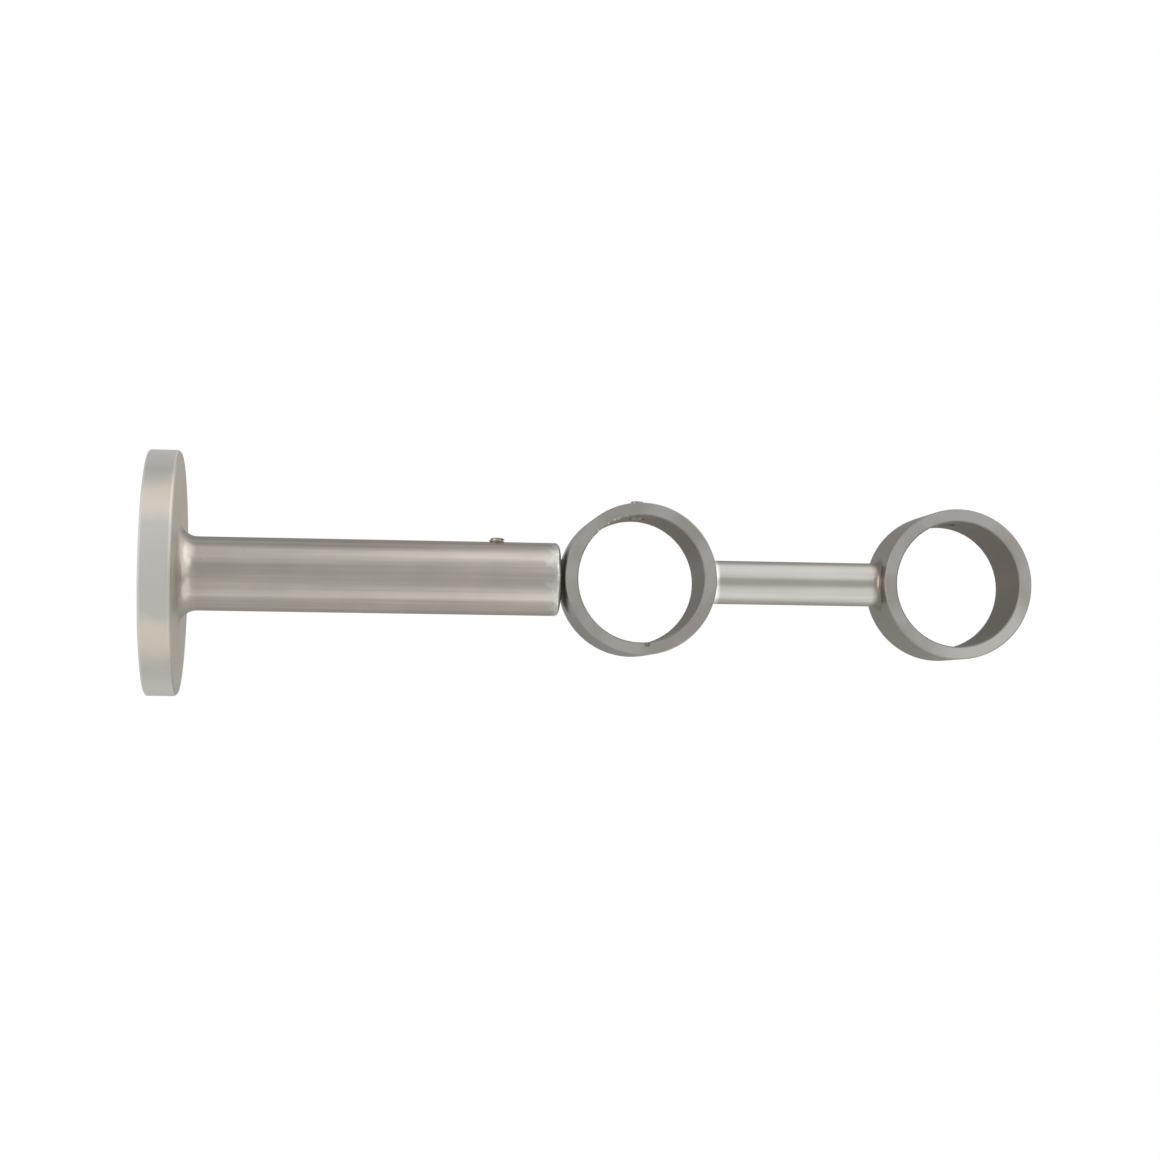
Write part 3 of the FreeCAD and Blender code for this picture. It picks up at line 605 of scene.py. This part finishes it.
def grub_core(length, root, socket, socket_depth, cup, point):
    """The screw without its thread, as rings of points down its outside and up out of its
    socket. z is 0 at the outer end, and the tip is down."""
    mouth = socket * MOUTH_SHARE
    cup_floor = cup * CUP_DEPTH_SHARE - length
    outside = [(root - TOP_BEVEL, 0.0), (root, -TOP_BEVEL), (root, point - length)]
    if cup:
        outside += [(cup + CUP_RIM, -length), (cup, -length), (cup * CUP_FLOOR_SHARE, cup_floor)]
    else:
        outside += [(CONE_END_RADIUS, -length)]
    body = bmesh.new()
    turns = [2 * math.pi * step / ROUND_STEPS for step in range(ROUND_STEPS)]

    def ring(reach, height):
        return [body.verts.new((reach(t) * math.cos(t), reach(t) * math.sin(t), height)) for t in turns]

    rings = [ring(lambda t, r=radius: r, height) for radius, height in outside]
    inner = [ring(lambda t: mouth, 0.0),
             ring(lambda t: hexagon_radius(t, socket), -MOUTH_BEVEL),
             ring(lambda t: hexagon_radius(t, socket), -socket_depth)]
    ends = [(rings[-1], cup_floor), (inner[-1], -socket_depth - SOCKET_CONE)]
    strips = list(zip(rings, rings[1:])) + list(zip(inner, inner[1:])) + [(rings[0], inner[0])]
    for upper, lower in strips:
        for step in range(ROUND_STEPS):
            following = (step + 1) % ROUND_STEPS
            body.faces.new((upper[step], lower[step], lower[following], upper[following]))
    for last, height in ends:
        tip = body.verts.new((0, 0, height))
        for step in range(ROUND_STEPS):
            body.faces.new((last[step], tip, last[(step + 1) % ROUND_STEPS]))
    bmesh.ops.recalc_face_normals(body, faces=body.faces)
    return body


def make_grub_screw(name, tree, finish, node, body_name, kind, down=False):
    """A socket grub screw in its CAD node's place. Its outer end is the node's far end."""
    low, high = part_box(node)
    length = high.z - low.z
    crest = (high.y - low.y) / 2
    pitch = kind["pitch"]
    point = kind["point"]
    depth = THREAD_DEPTH_SHARE * pitch
    root = crest - depth
    core = grub_core(length, root, kind["socket"], kind["socket_depth"], kind["cup"], point)
    # The ridge is sunk a little into the core, so that no gap shows
    ridge = thread_mesh(tree, finish, {
        "Middle radius": root + depth / 2 - SUNK_IN / 2, "Height": depth + SUNK_IN, "Pitch": pitch,
        "Turns": (length - point - TOP_BEVEL) / pitch, "Root width": ROOT_SHARE * pitch,
        "Crest width": CREST_SHARE * pitch})
    ridge.transform(Matrix.Translation((0, 0, point - length + pitch * THREAD_START_SHARE)))
    core.from_mesh(ridge)
    mesh = bpy.data.meshes.new(name)
    core.to_mesh(mesh)
    core.free()
    turn = Matrix.Rotation(math.pi, 4, "X") if down else Matrix.Identity(4)
    outer = Vector(((low.x + high.x) / 2, 0, low.z if down else high.z))
    mesh.transform(Matrix.Translation(outer) @ turn)
    screw = add_piece(name, mesh, finish)
    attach(screw, body_name)
    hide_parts(node)


def make_empty_thread(tree, finish):
    """The thread cut in the front ring's empty screw hole. Its ridge stands into the hole."""
    pitch = M4_CUP["pitch"]
    depth = 0.36 * MM
    start = BORE_RADIUS + 0.25 * MM
    end = RING_RADIUS - 0.35 * MM
    mesh = thread_mesh(tree, finish, {
        "Middle radius": THREAD_HOLE_RADIUS - depth / 2 + SUNK_IN, "Height": depth, "Pitch": pitch,
        "Turns": (end - start) / pitch, "Root width": CREST_SHARE * pitch,
        "Crest width": ROOT_SHARE * pitch})
    mesh.transform(Matrix.Translation((FRONT_RING_X, 0, start)))
    thread = add_piece("front_ring_screw_thread", mesh, finish)
    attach(thread, "arm")


def dress(node, material):
    """Give a CAD node its one material."""
    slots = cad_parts[node].data.materials
    slots.clear()
    slots.append(material)


make_camera()
make_world()
make_floor()
# Each lamp's centre, the point that it faces, its width, depth and power
make_lamp("softbox_above", (0.47, -0.12, 0.42), (0.47, 0.0, 0.0), 0.80, 0.70, 0.77)
make_lamp("softbox_wall_side", (-0.07, -0.25, 0.42), (-0.07, 0.0, 0.0), 0.44, 0.46, 0.100)
make_lamp("strip_above_camera", (0.37, -0.43, 0.285), (0.37, 0.0, 0.0), 0.34, 0.20, 0.100)
make_lamp("reflector_below", (0.33, -0.09, -0.185), (0.33, -0.09, 0.0), 0.46, 0.34, 0.170)
make_lamp("strip_below_camera", (0.37, -0.30, -0.160), (0.37, 0.0, 0.0), 0.34, 0.16, 0.060)
make_lamp("reflector_wall_side", (0.03, -0.12, -0.185), (0.03, -0.12, 0.0), 0.30, 0.16, 0.016)
make_lamp("softbox_left", (-0.45, -0.40, 0.15), (0.0, 0.0, 0.0), 0.45, 1.00, 1.9)

arm_finish = ring_arm_finish()
steel_finish = screw_finish()
dress("wall_rose", wall_rose_finish())
dress("ring_arm", arm_finish)
dress("fixing_plate", fixing_plate_finish())

ridge_tree = thread_tree()
make_grub_screw("stem_grub_screw", ridge_tree, steel_finish, "stem_screw", "wall_part", M4_CUP)
make_grub_screw("rear_ring_grub_screw", ridge_tree, steel_finish, "rear_ring_screw", "arm", M4_CUP)
make_grub_screw("rose_lock_grub_screw", ridge_tree, steel_finish, "rose_lock_screw", "wall_part",
                M3_CONE, down=True)
make_empty_thread(ridge_tree, arm_finish)

bpy.context.scene.view_settings.view_transform = "Standard"
